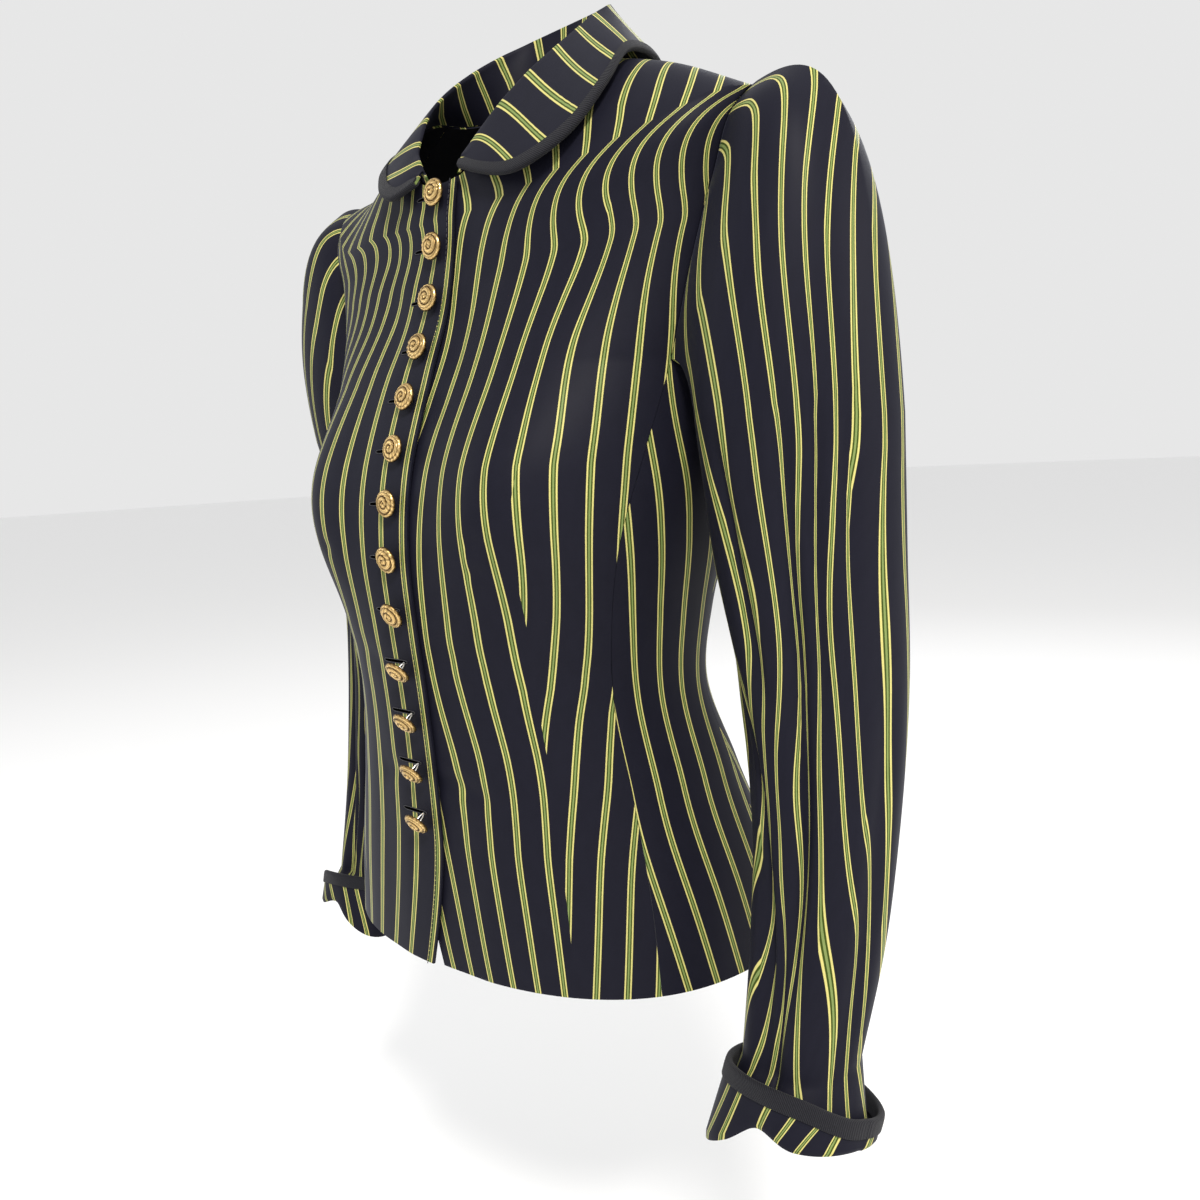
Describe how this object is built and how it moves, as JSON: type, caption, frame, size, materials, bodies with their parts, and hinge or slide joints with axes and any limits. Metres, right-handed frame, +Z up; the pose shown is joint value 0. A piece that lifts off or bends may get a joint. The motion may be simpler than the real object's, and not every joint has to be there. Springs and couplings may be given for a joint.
{
  "type": "tailored jacket",
  "caption": "Hollow, fitted hip-length jacket with a buttoned front, turned-down collar, long set-in sleeves and turned-back cuffs.",
  "frame": {"origin": "middle of the neck opening, level with the inner ends of the shoulder seams", "axes": "+Z up out of the neck opening, -Y out of the buttoned front, +X to the wearer's left"},
  "size_m": [0.5694, 0.2793, 0.7171],
  "materials": {
    "striped_satin": "black satin with green and gold stripes",
    "ribbed_tape": "black ribbed tape",
    "gilt": "gilt, worn"
  },
  "bodies": {
    "root": {"front_right": "striped_satin", "front_left": "striped_satin", "side_right": "striped_satin", "side_left": "striped_satin", "back_right": "striped_satin", "back_left": "striped_satin", "sleeve_right": "striped_satin", "sleeve_left": "striped_satin", "cuff_right": "striped_satin", "cuff_left": "striped_satin", "cuff_tape_right": "ribbed_tape", "cuff_tape_left": "ribbed_tape", "collar": "striped_satin", "collar_tape": "ribbed_tape", "button_01": "gilt", "button_02": "gilt", "button_03": "gilt", "button_04": "gilt", "button_05": "gilt", "button_06": "gilt", "button_07": "gilt", "button_08": "gilt", "button_09": "gilt", "button_10": "gilt", "button_11": "gilt", "button_12": "gilt", "button_13": "gilt"}
  },
  "joints": []
}
